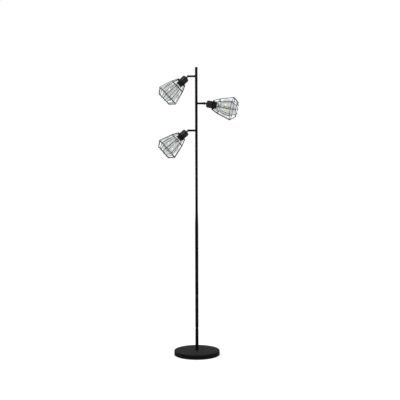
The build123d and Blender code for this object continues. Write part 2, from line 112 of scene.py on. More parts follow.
class Shape:
    """A mesh in the making, in millimetres, along its own Z axis until it is placed."""

    bend_step = 9.0

    def __init__(self) -> None:
        """Starts with an empty mesh."""
        self.mesh = bmesh.new()

    def lathe(self, outline: Outline, detail: Detail) -> "Shape":
        """Turns an outline about Z.

        Args:
            outline: Points as radius and height, from one end of the form to the other.
            detail: Steps in the full turn.

        Returns:
            The shape itself.
        """
        verts = [self.mesh.verts.new((radius, 0.0, height)) for radius, height in outline]
        edges = [self.mesh.edges.new(pair) for pair in zip(verts, verts[1:])]
        bmesh.ops.spin(
            self.mesh, geom=verts + edges, cent=(0.0, 0.0, 0.0), axis=(0.0, 0.0, 1.0), angle=TURN,
            steps=detail.value, use_merge=True,
        )
        return self.righted(1e-4)

    def righted(self, gap: float = 1e-5) -> "Shape":
        """Merges doubles and turns every face outwards.

        Args:
            gap: Greatest distance in millimetres between two points that are one.

        Returns:
            The shape itself.
        """
        bmesh.ops.remove_doubles(self.mesh, verts=self.mesh.verts, dist=gap)
        bmesh.ops.recalc_face_normals(self.mesh, faces=self.mesh.faces)
        return self

    def prism(self, corners: Outline, low: float, high: float) -> "Shape":
        """Raises a flat outline between two heights.

        Args:
            corners: The outline's corners in X and Y.
            low: Height of the lower face.
            high: Height of the upper face.

        Returns:
            The shape itself.
        """
        face = self.mesh.faces.new([self.mesh.verts.new((x, y, low)) for x, y in corners])
        raised = bmesh.ops.extrude_face_region(self.mesh, geom=[face])["geom"]
        top = [item for item in raised if isinstance(item, bmesh.types.BMVert)]
        bmesh.ops.translate(self.mesh, verts=top, vec=(0.0, 0.0, high - low))
        return self.righted()

    def flats(self) -> list[bmesh.types.BMFace]:
        """The faces that look straight up or down."""
        return [face for face in self.mesh.faces if abs(face.normal.z) > 0.9]

    def bevelled(self, width: float, sharper: float) -> "Shape":
        """Rounds the edges that turn by more than an angle.

        Args:
            width: Width of the rounding in millimetres.
            sharper: Least angle in degrees between the faces of a rounded edge.

        Returns:
            The shape itself.
        """
        edges = [
            edge
            for edge in self.mesh.edges
            if edge.is_manifold and edge.calc_face_angle(0.0) > radians(sharper)
        ]
        bmesh.ops.bevel(
            self.mesh, geom=edges, offset=width, segments=2, profile=0.5, affect="EDGES",
            material=-1, clamp_overlap=True,
        )
        return self

    def wire(
        self, path: Sequence[Vector], thick: float, bend: float = 0.0, closed: bool = False,
    ) -> "Shape":
        """Draws a round wire along straight runs that meet in round bends.

        Args:
            path: Corners of the wire's middle line.
            thick: The wire's diameter.
            bend: Radius of the bends at the middle line.
            closed: Whether the last corner runs on into the first.

        Returns:
            The shape itself.
        """
        corners = list(path)
        if closed:
            start = (corners[0] + corners[-1]) / 2.0
            corners = [start] + corners + [start.copy()]
        heading = (corners[1] - corners[0]).normalized().to_track_quat("Z", "Y")
        ring = bmesh.ops.create_circle(
            self.mesh, cap_ends=True, radius=thick / 2.0, segments=Detail.WIRE.value,
            matrix=Matrix.Translation(corners[0]) @ heading.to_matrix().to_4x4(),
        )
        end = list({face for vert in ring["verts"] for face in vert.link_faces})
        rim = list({edge for vert in ring["verts"] for edge in vert.link_edges})
        place = corners[0].copy()
        for before, corner, after in zip(corners, corners[1:], corners[2:]):
            run_in = (corner - before).normalized()
            run_out = (after - corner).normalized()
            turn = run_in.angle(run_out)
            touch = corner - run_in * bend * tan(turn / 2.0)
            end = self._carry(end, Matrix.Translation(touch - place))
            normal = run_in.cross(run_out).normalized()
            centre = Matrix.Translation(touch + normal.cross(run_in).normalized() * bend)
            steps = max(2, round(degrees(turn) / self.bend_step))
            step = centre @ Matrix.Rotation(turn / steps, 4, normal) @ centre.inverted()
            for _ in range(steps):
                end = self._carry(end, step)
            place = corner + run_out * bend * tan(turn / 2.0)
        end = self._carry(end, Matrix.Translation(corners[-1] - place))
        if closed:
            bmesh.ops.delete(self.mesh, geom=end, context="FACES_ONLY")
            return self.righted(0.02)
        bmesh.ops.edgeloop_fill(self.mesh, edges=rim)
        return self.righted()

    def _carry(self, end: list, move: Matrix) -> list:
        """Draws the wire on by one step.

        Args:
            end: The wire's end face.
            move: Transform to its new place.

        Returns:
            The new end face.
        """
        out = bmesh.ops.extrude_face_region(self.mesh, geom=end)["geom"]
        bmesh.ops.delete(self.mesh, geom=end, context="FACES_ONLY")
        verts = [item for item in out if isinstance(item, bmesh.types.BMVert)]
        bmesh.ops.transform(self.mesh, matrix=move, verts=verts)
        return [item for item in out if isinstance(item, bmesh.types.BMFace)]

    def balls(self, centres: Sequence[Vector], radius: float) -> None:
        """Adds small balls, such as welds.

        Args:
            centres: Their middles.
            radius: Their radius.
        """
        for centre in centres:
            bmesh.ops.create_icosphere(
                self.mesh, subdivisions=2, radius=radius, matrix=Matrix.Translation(centre),
            )

    def add(self, other: "Shape") -> None:
        """Takes over the mesh of another shape.

        Args:
            other: The other shape, which is used up.
        """
        holder = bpy.data.meshes.new("part")
        other.mesh.to_mesh(holder)
        other.mesh.free()
        self.mesh.from_mesh(holder)
        bpy.data.meshes.remove(holder)

    def placed(self, lay: Matrix) -> "Shape":
        """Moves everything made so far by a transform."""
        bmesh.ops.transform(self.mesh, matrix=lay, verts=self.mesh.verts)
        return self

    def finished(self, name: str, smooth: float) -> bpy.types.Object:
        """Turns the shape into an object in metres, with its place in its mesh.

        Args:
            name: Name of the object.
            smooth: Greatest angle in degrees that is shaded smooth.

        Returns:
            The finished object.
        """
        bmesh.ops.scale(self.mesh, vec=(MM, MM, MM), verts=self.mesh.verts)
        data = bpy.data.meshes.new(name)
        self.mesh.to_mesh(data)
        self.mesh.free()
        for polygon in data.polygons:
            polygon.use_smooth = True
        data.set_sharp_from_angle(angle=radians(smooth))
        return put(name, data)


def shifted(points: Outline, out: float, up: float) -> Points:
    """Moves an outline outwards and up."""
    return [(radius + out, height + up) for radius, height in points]


def sleeve(bore: float, outer: float, low: float, high: float, ease: Pair) -> Points:
    """Outline of a tube, or with no bore of a rod, whose outer edges are eased.

    Args:
        bore: Inner radius, nothing for a rod.
        outer: Outer radius.
        low: Height of the lower end.
        high: Height of the upper end.
        ease: How far the eased edges reach in from the side and along it.

    Returns:
        Points as radius and height.
    """
    across, along = ease
    points = [(bore, low), (outer - across, low), (outer, low + along)]
    points += [(outer, high - along), (outer - across, high), (bore, high)]
    return points + points[:1] if bore > 0.0 else points


def sweep(start: float, stop: float, steps: int) -> list[float]:
    """Angles from one to another, in even steps."""
    return [start + (stop - start) * step / steps for step in range(steps + 1)]


def arc(radius: float, start: float, stop: float, steps: int) -> Points:
    """Points on a circle about the origin, from one angle to another."""
    return [(radius * cos(a), radius * sin(a)) for a in sweep(start, stop, steps)]


def thread(profile: Outline, radius: float, start: float, pitch: float, turns: int) -> Points:
    """Repeats a thread's profile along an outline.

    Args:
        profile: One turn of the thread, from its own radius and start.
        radius: Radius that the profile is counted from.
        start: Height of the first turn.
        pitch: Height from one turn to the next.
        turns: Number of turns.

    Returns:
        Points as radius and height.
    """
    return [
        point for turn in range(turns) for point in shifted(profile, radius, start + turn * pitch)
    ]


# ---- materials


class Nodes:
    """Short ways to place and link the nodes of one tree."""

    def __init__(self, tree: Tree) -> None:
        """Takes a node tree and empties it."""
        self.tree = tree
        tree.nodes.clear()

    def add(
        self, kind: str, inputs: dict[str | int, object] | None = None, **settings: object,
    ) -> bpy.types.Node:
        """Adds a node.

        Args:
            kind: Type of the node, without the words that all types start with.
            inputs: A value, or the output to link, for each input named or numbered.
            settings: Properties of the node.

        Returns:
            The node.
        """
        node = self.tree.nodes.new(f"ShaderNode{kind}")
        for name, value in settings.items():
            setattr(node, name, value)
        for key, value in (inputs or {}).items():
            if isinstance(value, Socket):
                self.tree.links.new(value, node.inputs[key])
            else:
                node.inputs[key].default_value = value
        return node

    def maths(self, operation: str, first: object, second: object) -> Socket:
        """Works out one value from two values or outputs."""
        return self.add("Math", {0: first, 1: second}, operation=operation).outputs["Value"]

    def blend(self, share: object, first: object, second: object) -> Socket:
        """Mixes two colours.

        Args:
            share: Share of the second, as a value or an output.
            first: Colour, or the output to link.
            second: Colour, or the output to link.

        Returns:
            The output with the mixed colour.
        """
        share_at, first_at, second_at, result_at = 0, 6, 7, 2
        inputs = {share_at: share, first_at: first, second_at: second}
        return self.add("Mix", inputs, data_type="RGBA").outputs[result_at]

    def noise(self, scale: object, detail: float) -> Socket:
        """Noise over the piece's own coordinates.

        Args:
            scale: How fine it is, as a value or an output.
            detail: How many finer layers it has.

        Returns:
            The output with its value.
        """
        place = self.add("TexCoord").outputs["Object"]
        inputs = {"Vector": place, "Scale": scale, "Detail": detail}
        return self.add("TexNoise", inputs).outputs["Fac"]

    def bump(self, height: object, strength: float, depth: float) -> Socket:
        """Normal of a surface that a height roughens, with the depth in metres."""
        inputs = {"Height": height, "Strength": strength, "Distance": depth}
        return self.add("Bump", inputs).outputs["Normal"]

    def seen(self) -> Socket:
        """One for rays from the camera, through glass or off a gloss, else nothing.

        Returns:
            The output with the value.
        """
        ray = self.add("LightPath").outputs
        straight = self.maths("MAXIMUM", ray["Is Camera Ray"], ray["Is Transmission Ray"])
        return self.maths("MAXIMUM", straight, ray["Is Glossy Ray"])


class Group:
    """A shader node group in the making, with values as its inputs and outputs."""

    def __init__(self, name: str, inputs: dict[str, float], outputs: Sequence[str]) -> None:
        """Starts the group.

        Args:
            name: Name of the group.
            inputs: Name and default of each input.
            outputs: Name of each output.
        """
        self.tree = bpy.data.node_groups.new(name, "ShaderNodeTree")
        kind = "NodeSocketFloat"
        for label, default in inputs.items():
            socket = self.tree.interface.new_socket(label, in_out="INPUT", socket_type=kind)
            socket.default_value = default
        for label in outputs:
            self.tree.interface.new_socket(label, in_out="OUTPUT", socket_type=kind)
        self.nodes = Nodes(self.tree)
        self.given = self.tree.nodes.new("NodeGroupInput").outputs
        self.results = self.tree.nodes.new("NodeGroupOutput").inputs

    def give(self, label: str, value: Socket) -> None:
        """Links an output of the group."""
        self.tree.links.new(value, self.results[label])


def grain_group() -> Tree:
    """Fine orange peel of a coat or a moulding, as a height and a slow variation.

    Returns:
        The group's tree.
    """
    inputs = {"Fine Scale": 900.0, "Slow Scale": 30.0}
    group = Group("surface_grain", inputs, ("Height", "Variation"))
    group.give("Height", group.nodes.noise(group.given["Fine Scale"], 3.0))
    group.give("Variation", group.nodes.noise(group.given["Slow Scale"], 2.0))
    return group.tree


def dust_group() -> Tree:
    """Mask of thin dust on faces that look up.

    Returns:
        The group's tree.
    """
    group = Group("settled_dust", {"Amount": 0.05, "Scale": 45.0}, ("Mask",))
    nodes = group.nodes
    facing = nodes.add("NewGeometry").outputs["Normal"]
    height = nodes.add("SeparateXYZ", {"Vector": facing}).outputs["Z"]
    up = nodes.add("MapRange", {"Value": height, "From Min": 0.35, "From Max": 1.0})
    patches = nodes.noise(group.given["Scale"], 5.0)
    spread = nodes.maths("MULTIPLY", up.outputs["Result"], patches)
    group.give("Mask", nodes.maths("MULTIPLY", spread, group.given["Amount"]))
    return group.tree


def new_material(name: str) -> tuple[bpy.types.Material, Nodes]:
    """Starts a material.

    Args:
        name: Name of the material.

    Returns:
        The material and the helper for its nodes.
    """
    made = bpy.data.materials.new(name)
    made.use_nodes = True
    return made, Nodes(made.node_tree)


@dataclass(frozen=True)
class Finish:
    """One finish of the lamp, as a material with a fine grain and an uneven sheen."""

    name: str
    slot: str
    colour: Triple
    worn: Triple
    roughness: float
    uneven: float = 0.08
    metallic: float = 0.0
    specular: float = 0.5
    grain: float = 900.0
    slow: float = 30.0
    bump: float = 0.08
    depth: float = 0.00005
    dust: float = 0.0
    dust_colour: Triple = (0.42, 0.41, 0.39)

    def material(self, grain: Tree, dust: Tree) -> bpy.types.Material:
        """Builds the material.

        Args:
            grain: The group that gives the grain's height and the slow variation.
            dust: The group that gives the mask of settled dust.

        Returns:
            The material.
        """
        made, nodes = new_material(self.name)
        scales = {"Fine Scale": self.grain, "Slow Scale": self.slow}
        surface = nodes.add("Group", scales, node_tree=grain).outputs
        slow = surface["Variation"]
        colour = nodes.blend(slow, (*self.colour, 1.0), (*self.worn, 1.0))
        if self.dust > 0.0:
            settled = nodes.add("Group", {"Amount": self.dust}, node_tree=dust)
            colour = nodes.blend(settled.outputs["Mask"], colour, (*self.dust_colour, 1.0))
        low, high = self.roughness - self.uneven, self.roughness + self.uneven
        sheen = nodes.add("MapRange", {"Value": slow, "To Min": low, "To Max": high})
        inputs = {
            "Base Color": colour, "Metallic": self.metallic, "Specular IOR Level": self.specular,
            "Roughness": sheen.outputs["Result"],
            "Normal": nodes.bump(surface["Height"], self.bump, self.depth),
        }
        shader = nodes.add("BsdfPrincipled", inputs)
        nodes.add("OutputMaterial", {"Surface": shader.outputs["BSDF"]})
        return made


@dataclass(frozen=True)
class ClearGlass:
    """Thin clear glass, which stays clear for shadows."""

    name: str
    slot: str
    tint: Triple
    roughness: float
    clear: float
    ior: float = 1.48
    shade: float = 0.5
    wave_scale: float = 40.0
    wave_strength: float = 0.05
    wave_depth: float = 0.0002

    def material(self) -> bpy.types.Material:
        """Builds the material, with a faint unevenness in the glass.

        Returns:
            The material.
        """
        made, nodes = new_material(self.name)
        waves = nodes.noise(self.wave_scale, 1.0)
        inputs = {
            "Base Color": (*self.tint, 1.0), "Roughness": self.roughness, "IOR": self.ior,
            "Transmission Weight": 1.0,
            "Normal": nodes.bump(waves, self.wave_strength, self.wave_depth),
        }
        glass = nodes.add("BsdfPrincipled", inputs).outputs["BSDF"]
        thin = tuple(1.0 - (1.0 - part) * self.shade for part in self.tint)
        passing = nodes.add("BsdfTransparent", {"Color": (*thin, 1.0)}).outputs["BSDF"]
        shadow = nodes.add("LightPath").outputs["Is Shadow Ray"]
        clear = nodes.maths("MAXIMUM", shadow, self.clear)
        mix = nodes.add("MixShader", {"Fac": clear, 1: glass, 2: passing})
        nodes.add("OutputMaterial", {"Surface": mix.outputs["Shader"]})
        return made


POWDER_COAT = Finish(
    "black_powder_coat", "black_paint", (0.0016, 0.0016, 0.0019), (0.0030, 0.0030, 0.0033), 0.72,
    specular=0.06, grain=1400.0, bump=0.18, depth=0.00006, dust=0.02,
)
CAP_COAT = Finish(
    "satin_black_lacquer", "black_paint", (0.0040, 0.0040, 0.0045), (0.0060, 0.0060, 0.0065), 0.22,
    uneven=0.04, specular=0.18, grain=1400.0, bump=0.1, depth=0.00003, dust=0.02,
)
BASE_COAT = Finish(
    "base_powder_coat", "black_paint", (0.0022, 0.0022, 0.0024), (0.0036, 0.0036, 0.0037), 0.8,
    specular=0.08, grain=1100.0, bump=0.22, depth=0.00008, dust=0.05,
)
BLACK_MOULDING = Finish(
    "black_moulding", "black_plastic", (0.0050, 0.0050, 0.0055), (0.0080, 0.0080, 0.0085), 0.45,
    specular=0.18, grain=1800.0, bump=0.1, depth=0.00003,
)
ZINC = Finish(
    "zinc_plate", "steel", (0.50, 0.51, 0.53), (0.62, 0.62, 0.63), 0.34, metallic=1.0, grain=500.0,
    slow=220.0, bump=0.12, depth=0.00004,
)
BLACK_SCREW = Finish(
    "blackened_steel", "steel", (0.030, 0.030, 0.032), (0.055, 0.055, 0.057), 0.38, metallic=0.6,
    grain=700.0, bump=0.1, depth=0.00003,
)
CASTING = Finish(
    "rough_casting", "cast_iron", (0.05, 0.048, 0.046), (0.10, 0.095, 0.09), 0.7, metallic=0.5,
    grain=260.0, bump=0.6, depth=0.0004,
)
SOFT_RUBBER = Finish(
    "soft_rubber", "rubber", (0.016, 0.016, 0.017), (0.024, 0.024, 0.024), 0.8, specular=0.3,
    grain=600.0, bump=0.25, depth=0.0001,
)
CONTACT_BRASS = Finish(
    "contact_brass", "brass", (0.70, 0.48, 0.17), (0.62, 0.40, 0.14), 0.3, metallic=1.0,
    grain=500.0, slow=150.0, bump=0.05,
)
PLATED_CAP = Finish(
    "plated_sheet", "plated_cap", (0.60, 0.60, 0.59), (0.70, 0.70, 0.69), 0.28, metallic=1.0,
    grain=800.0, slow=160.0, bump=0.06,
)
FILAMENT_COAT = Finish(
    "filament_phosphor", "filament", (0.80, 0.64, 0.36), (0.86, 0.72, 0.46), 0.6, grain=2600.0,
    bump=0.15,
)
BULB_GLASS = ClearGlass("bulb_glass", "clear_glass", (0.74, 0.76, 0.765), 0.02, clear=0.0)
STEM_GLASS = ClearGlass("stem_glass", "stem_glass", (0.93, 0.95, 0.93), 0.06, clear=0.15)


class Finishes:
    """Every finish as a material, built once."""

    opaque = (
        POWDER_COAT, CAP_COAT, BASE_COAT, BLACK_MOULDING, ZINC, BLACK_SCREW, CASTING, SOFT_RUBBER,
        CONTACT_BRASS, PLATED_CAP, FILAMENT_COAT,
    )
    glasses = (BULB_GLASS, STEM_GLASS)

    def __init__(self) -> None:
        """Builds the shared groups and all materials."""
        grain, dust = grain_group(), dust_group()
        self.made = {finish.name: finish.material(grain, dust) for finish in self.opaque}
        self.made |= {glass.name: glass.material() for glass in self.glasses}

    def dress(self, piece: bpy.types.Object, finish: Finish | ClearGlass) -> None:
        """Gives a piece its only material.

        Args:
            piece: The piece.
            finish: Its finish.
        """
        piece.data.materials.clear()
        piece.data.materials.append(self.made[finish.name])


@dataclass
class Assembly:
    """What every sub-assembly shares: the finishes, and the pieces made so far."""

    finishes: Finishes
    pieces: list[bpy.types.Object] = field(default_factory=list, init=False)

    def keep(
        self, shape: Shape, name: str, finish: Finish | ClearGlass, body: str, *stands_for: str,
        smooth: float = SHADE_ANGLE,
    ) -> None:
        """Makes a shape a piece, dresses it, and ties it to its body.

        Args:
            shape: The shape, laid in its place.
            name: Name of the piece.
            finish: Its finish.
            body: The body that it moves with.
            stands_for: Nodes that it is shown in place of.
            smooth: Greatest angle in degrees that is shaded smooth.
        """
        piece = shape.finished(name, smooth)
        self.finishes.dress(piece, finish)
        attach(piece, body)
        if stands_for:
            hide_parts(*stands_for)
        self.pieces.append(piece)

    def carry(self, finish: Finish, *nodes: str) -> None:
        """Dresses nodes that are shown as they come.

        Args:
            finish: Their finish.
            nodes: Their names.
        """
        for node in nodes:
            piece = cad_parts[node]
            self.finishes.dress(piece, finish)
            self.pieces.append(piece)

    def report(self, title: str) -> None:
        """Logs the name of each piece."""
        for piece in self.pieces:
            log.info("%s: %s, %d faces", title, piece.name, len(piece.data.polygons))


# ---- stand


@dataclass
class Stand(Assembly):
    """Base and pole, with the arms welded to the top tube. Sizes in millimetres."""

    arms: Sequence[Mount]

    base_radius: float = 127.0
    base_top: float = 25.0
    cover_low: float = 0.8
    cover_wall: float = 1.5
    cover_hole: float = 5.2
    cover_lip: float = 0.3
    outer_bend: float = 2.6
    inner_bend: float = 2.0
    top_rings: Pair = (60.0, 13.0)
    bushing_z: float = 11.0
    bushing_seat: float = 0.3
    bushing_outline: Outline = (
        (3.2, -1.8), (4.4, -1.8), (4.4, 0.0), (6.0, 0.0), (6.5, 0.5), (6.5, 1.2), (5.9, 2.0),
        (3.9, 2.0), (3.2, 1.4), (3.2, -1.8),
    )
    lower_radius: float = 9.0
    upper_radius: float = 7.2
    tube_wall: float = 1.2
    tube_edge: float = 0.35
    foot_bore: float = 5.0
    foot_floor: float = 24.0
    foot_top: float = 143.0
    middle_low: float = 153.0
    taper_low: float = 718.0
    taper_top: float = 800.0
    taper_steps: int = 12
    taper_ease: float = 0.3
    upper_low: float = 815.0
    pole_top: float = 1600.0
    coupling: Outline = ((4.0, 121.0), (7.75, 121.0), (7.75, 175.0), (4.0, 175.0), (4.0, 121.0))
    plug: Outline = ((0.0, -8.0), (5.95, -8.0), (5.95, -0.4), (5.55, 0.0), (0.0, 0.0))
    arm_radius: float = 5.5
    arm_outline: Outline = (
        (3.55, 6.0), (5.5, 6.0), (5.5, 26.7), (5.2, 27.0), (3.85, 27.0), (3.55, 26.7), (3.55, 6.0),
    )
    weld_steps: int = 32
    weld_thick: float = 2.2
    weld_bend: float = 3.5
    weld_smooth: float = 80.0

    def build(self) -> None:
        """Builds the stand from the floor up."""
        self.base()
        self.carry(CASTING, "base_weight")
        self.carry(SOFT_RUBBER, "base_pad")
        self.carry(ZINC, "foot_stud", "foot_nut", "tube_joiner")
        self.bushing()
        self.lower_tubes()
        self.middle_tube()
        self.upper_tube()
        for number, mount in enumerate(self.arms, start=1):
            self.arm(number, mount)
            self.weld(number, mount)
        self.carry(BLACK_SCREW, "stop_screws")

    def base(self) -> None:
        """Spun cover with a rounded edge and a thin rolled lip."""
        outer, inner = self.base_radius, self.base_radius - self.cover_wall
        top, under = self.base_top, self.base_top - self.cover_wall
        low, lip, bend, edge = self.cover_low, self.cover_lip, self.inner_bend, self.outer_bend
        outline = [(self.cover_hole, under)]
        outline += shifted(arc(bend, pi / 2.0, 0.0, 4), inner - bend, under - bend)
        outline += [(inner, low + lip), (inner + lip, low), (outer - lip, low), (outer, low + lip)]
        outline += shifted(arc(edge, 0.0, pi / 2.0, 8), outer - edge, top - edge)
        outline += [(radius, top) for radius in (*self.top_rings, self.cover_hole)]
        outline += outline[:1]
        cover = Shape().lathe(outline, Detail.FINE)
        self.keep(cover, "base_cover_spun", BASE_COAT, STAND, "base_cover")

    def bushing(self) -> None:
        """Rubber bushing in the back of the cover, with a rounded flange and a bore."""
        outline = shifted(self.bushing_outline, 0.0, self.base_radius + self.bushing_seat)
        lay = Matrix.Translation((0.0, 0.0, self.bushing_z)) @ Matrix.Rotation(-pi / 2.0, 4, "X")
        made = Shape().lathe(outline, Detail.SMALL).placed(lay)
        self.keep(made, "cable_bushing_moulded", SOFT_RUBBER, STAND, "cable_bushing")

    def tube(self, outline: Outline, name: str, node: str) -> None:
        """Turns one tube of the pole."""
        self.keep(Shape().lathe(outline, Detail.ROUND), name, POWDER_COAT, STAND, node)

    def lower_tubes(self) -> None:
        """Foot tube with its closed foot, and the coupling that shows above it."""
        outer, bore, edge = self.lower_radius, self.lower_radius - self.tube_wall, self.tube_edge
        low, floor = self.base_top, self.base_top + self.foot_floor
        foot = sleeve(bore, outer, low, self.foot_top, (edge, edge))[1:-1]
        foot += [(bore, floor), (self.foot_bore, floor), (self.foot_bore, low), foot[0]]
        self.tube(foot, "foot_tube_turned", "foot_tube")
        self.tube(self.coupling, "pole_coupling_turned", "pole_coupling")

    def middle_tube(self) -> None:
        """Lower part of the pole, with its long taper to the upper tube."""
        outer, top, edge = self.lower_radius, self.upper_radius, self.tube_edge
        bore, top_bore = outer - self.tube_wall, top - self.tube_wall
        outline = [(bore, self.middle_low), (outer - edge, self.middle_low)]
        outline += [(outer, self.middle_low + edge)]
        for step in range(self.taper_steps + 1):
            share = step / self.taper_steps
            eased = share * share * (3.0 - 2.0 * share)
            blend = share + (eased - share) * self.taper_ease
            height = self.taper_low + (self.taper_top - self.taper_low) * share
            outline.append((outer + (top - outer) * blend, height))
        outline += [(top, self.upper_low - edge), (top - edge, self.upper_low)]
        outline += [(top_bore, self.upper_low), (top_bore, self.taper_top)]
        outline += [(bore, self.taper_low), (bore, self.middle_low)]
        self.tube(outline, "middle_tube_drawn", "middle_tube")

    def upper_tube(self) -> None:
        """Thin tube that carries the arms, with the flat plug in its top."""
        made = Shape().lathe(shifted(self.plug, 0.0, self.pole_top), Detail.ROUND)
        self.keep(made, "pole_plug_moulded", BLACK_MOULDING, STAND, "pole_plug")
        radius, ease = self.upper_radius, (self.tube_edge, self.tube_edge)
        ends = (self.upper_low, self.pole_top)
        outline = sleeve(radius - self.tube_wall, radius, *ends, ease)
        self.tube(outline, "upper_tube_drawn", "upper_tube")

    def arm(self, number: int, mount: Mount) -> None:
        """One arm, whose open end is eased inside and out.

        Args:
            number: The arm's number, from the top.
            mount: Its side and height.
        """
        turn = Matrix.Rotation(mount.side.value * pi / 2.0, 4, "Y")
        lay = Matrix.Translation((0.0, 0.0, mount.arm_z)) @ turn
        made = Shape().lathe(self.arm_outline, Detail.ROUND).placed(lay)
        self.keep(made, f"arm_{number}_tube", POWDER_COAT, STAND)

    def weld(self, number: int, mount: Mount) -> None:
        """Bead of weld in the saddle between an arm and the tube.

        Args:
            number: The arm's number, from the top.
            mount: Its side and height.
        """
        path = []
        for across, up in arc(self.arm_radius, 0.0, TURN, self.weld_steps)[:-1]:
            out = (self.upper_radius**2 - across**2) ** 0.5
            path.append(Vector((mount.side.value * out, across, mount.arm_z + up)))
        made = Shape().wire(path, self.weld_thick, self.weld_bend, closed=True)
        self.keep(made, f"arm_{number}_weld", POWDER_COAT, STAND, smooth=self.weld_smooth)


# ---- heads


@dataclass
class Head(Assembly):
    """One spot head with its knuckle, lampholder, cage and bulb. Sizes in millimetres,
    those along the head measured from the tilt pin."""

    mount: Mount
    arm_lay: Matrix = field(init=False)
    head_lay: Matrix = field(init=False)
    ear_lay: Matrix = field(init=False)
    eye_lay: Matrix = field(init=False)

    pin_reach: float = 46.0
    barrel_at: float = 27.3
    barrel_radius: float = 5.5
    barrel_edge: float = 0.4
    barrel_clear: float = 0.7
    spigot: Outline = (
        (0.0, 10.3), (3.5, 10.3), (3.5, 15.25), (2.5, 15.25), (2.5, 18.75), (3.5, 18.75),
        (3.5, 27.3), (0.0, 27.3),
    )
    ear_inner: float = 2.15
    ear_outer: float = 4.6
    ear_overlap: float = 0.1
    ear_edge: float = 0.35
    screw_gap: float = 0.05
    screw_dome: Outline = ((0.0, -2.0), (1.6, -1.95), (2.8, -1.5), (3.45, -0.8), (3.6, 0.0))
    screw_shank: Outline = ((2.0, -9.3), (2.0, 2.7), (1.7, 3.0), (0.0, 3.0))
    nut_half: float = 3.5
    nut_high: float = 2.8
    small_edge: float = 0.3
    tongue_half: float = 2.0
    neck_half: float = 3.5
    neck_overlap: float = 1.0
    tongue_foot: Outline = (
        (0.0, -2.0), (6.8, -2.0), (7.5, -1.4), (7.5, 0.0), (4.9, 0.0), (4.9, 8.0), (0.0, 8.0),
    )
    cap_back: float = 11.0
    cap_radius: float = 20.5
    cap_front: float = 45.0
    cap_wall: float = 1.2
    cap_hole: float = 5.0
    crown_flat: float = 11.5
    crown_foot: Pair = (12.6, 0.15)
    crown_rise: float = 8.85
    crown_steps: int = 14
    cap_rim: Outline = (
        (0.0, -3.4), (-0.35, -3.1), (-0.35, -2.7), (0.0, -2.4), (0.0, -0.4), (-0.4, 0.0),
    )
    cap_inside: Outline = ((0.0, 10.0), (-2.2, 5.0))
    flange_radius: float = 22.5
    skirt_radius: float = 18.5
    skirt_front: float = 71.0
    skirt_neck: float = 0.6
    skirt_thread: Outline = ((-0.55, 0.0), (0.0, 0.7), (0.0, 1.3), (-0.55, 2.0))
    skirt_pitch: float = 2.4
    skirt_turns: int = 8
    skirt_rim: Outline = ((-0.2, -2.2), (-0.2, -0.5), (-0.7, 0.0))
    bore_radius: float = 13.7
    bore_at: float = 48.6
    bore_edge: float = 0.6
    ring_radius: float = 23.3
    ring_at: float = 48.1
    ring_thick: float = 8.0
    ring_play: float = 1.2
    grips: int = 16
    grip_steps: int = 6
    grip_depth: float = 0.9
    collar_at: float = 46.5
    collar_thick: float = 1.6
    collar_radius: float = 29.5
    collar_ease: float = 0.992
    collar_shares: Triple = (0.1, 0.5, 0.9)
    collar_play: float = 0.1
    collar_edge: float = 0.25
    wire: float = 3.2
    bar_bend: float = 5.0
    ring_bend: float = 4.0
    weld_gap: float = 0.05
    weld_ball: float = 1.35
    foot_ball: float = 2.1
    foot_seat: float = 0.5
    foot_radius: float = 27.0
    mid: Pair = (42.6, 80.5)
    wide: Pair = (65.5, 155.5)
    mouth: Pair = (39.2, 185.3)
    cage_sides: int = 10
    bulb_foot: float = 49.5
    contact: Outline = (
        (0.0, 0.0), (3.6, 0.0), (4.5, 0.8), (4.5, 2.0), (5.0, 2.5), (9.0, 3.2), (12.2, 6.0),
    )
    screw_at: float = 6.4
    screw_depth: float = 1.0
    screw_pitch: float = 3.62
    screw_turns: int = 4
    screw_steps: int = 8
    screw_end_step: Outline = ((-0.2, 0.8),)
    bulb_cap_radius: float = 13.2
    bulb_cap_lip: float = 2.6
    glass_at: float = 76.0
    glass_wall: float = 0.9
    neck_radius: float = 13.0
    neck_end: float = 79.0
    neck_bend: float = 2.0
    neck_share: float = 0.08
    neck_steps: int = 5
    ball_radius: float = 47.5
    ball_at: float = 130.0
    ball_steps: int = 36
    stem_flare: Outline = ((0.0, 0.0), (8.0, 0.0), (6.6, 3.0), (4.4, 8.0), (3.2, 16.0))
    stem_pinch: Outline = ((2.9, -3.0), (3.6, -1.0), (2.2, 0.0), (0.0, 0.0))
    stem_top: float = 107.0
    filament_low: float = 107.8
    filament_long: float = 32.0
    filament_ring: float = 7.5
    filament_count: int = 6
    filament_radius: float = 0.9
    filament_ease: Pair = (0.05, 0.3)
    support_gap: float = 0.4
    support_wire: float = 0.6

    def __post_init__(self) -> None:
        """Works out the transforms from a form along or about Z to the head's places."""
        tilt, swivel = radians(self.mount.tilt), radians(self.mount.swivel)
        outward = Vector((self.mount.side.value, 0.0, 0.0))
        hanging = Vector((0.0, -sin(swivel), -cos(swivel)))
        along = outward * cos(tilt) + hanging * sin(tilt)
        lift = outward * sin(tilt) - hanging * cos(tilt)
        root = Vector((0.0, 0.0, self.mount.arm_z))
        pin = root + outward * self.pin_reach
        self.arm_lay = self.frame_of(root, hanging, outward)
        self.head_lay = self.frame_of(pin, lift, along)
        self.ear_lay = self.frame_of(pin, outward, along.cross(lift))
        self.eye_lay = self.frame_of(pin, along, along.cross(lift))

    @staticmethod
    def frame_of(origin: Vector, x_dir: Vector, z_dir: Vector) -> Matrix:
        """Transform that carries X and Z onto two directions at a place."""
        turned = Matrix((x_dir, z_dir.cross(x_dir), z_dir)).transposed().to_4x4()
        return Matrix.Translation(origin) @ turned

    def node(self, piece: str) -> str:
        """Full name of one of this head's nodes, pieces or bodies."""
        return f"{self.mount.name}_{piece}"

